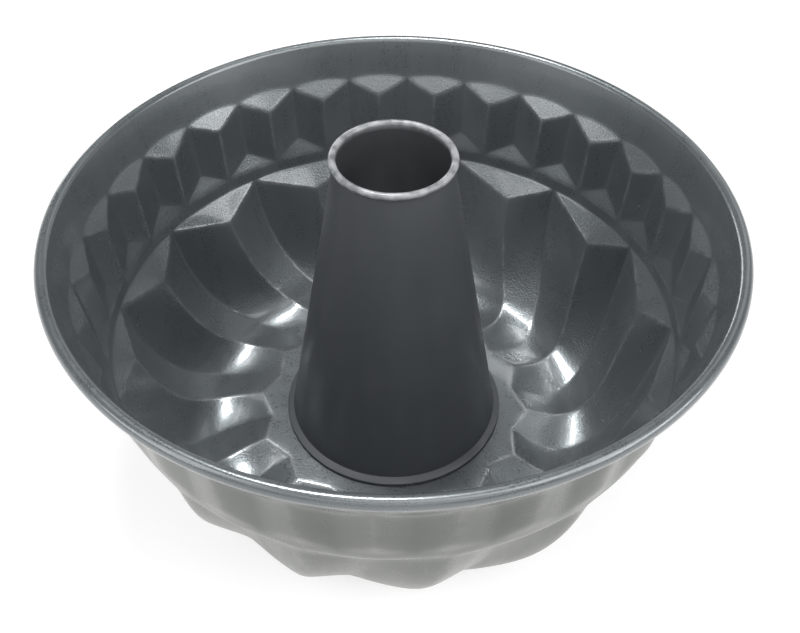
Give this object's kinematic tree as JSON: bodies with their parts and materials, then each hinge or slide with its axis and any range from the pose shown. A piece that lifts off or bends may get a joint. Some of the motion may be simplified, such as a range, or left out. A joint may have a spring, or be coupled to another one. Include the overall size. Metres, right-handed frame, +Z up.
{
  "type": "fluted tube cake pan",
  "caption": "Round fluted ring cake pan with a pleated upper band, swirling flutes below and a tapered centre tube that stands above the rolled rim.",
  "frame": {"origin": "on the axis of the tube, in the plane that the pan stands on", "axes": "+Z up along the axis of the tube, from the standing plane to the rim; +X through the top of one trough of the flutes"},
  "size_m": [0.22, 0.22, 0.1165],
  "materials": {
    "shell_coating": "satin non-stick coating on pressed steel, darker inside than outside",
    "tube_coating": "satin dark grey non-stick coating on drawn steel",
    "wire_steel": "drawn steel wire"
  },
  "bodies": {
    "root": {"pan_shell": "shell_coating", "centre_tube": "tube_coating", "rim_wire": "wire_steel"}
  },
  "joints": []
}
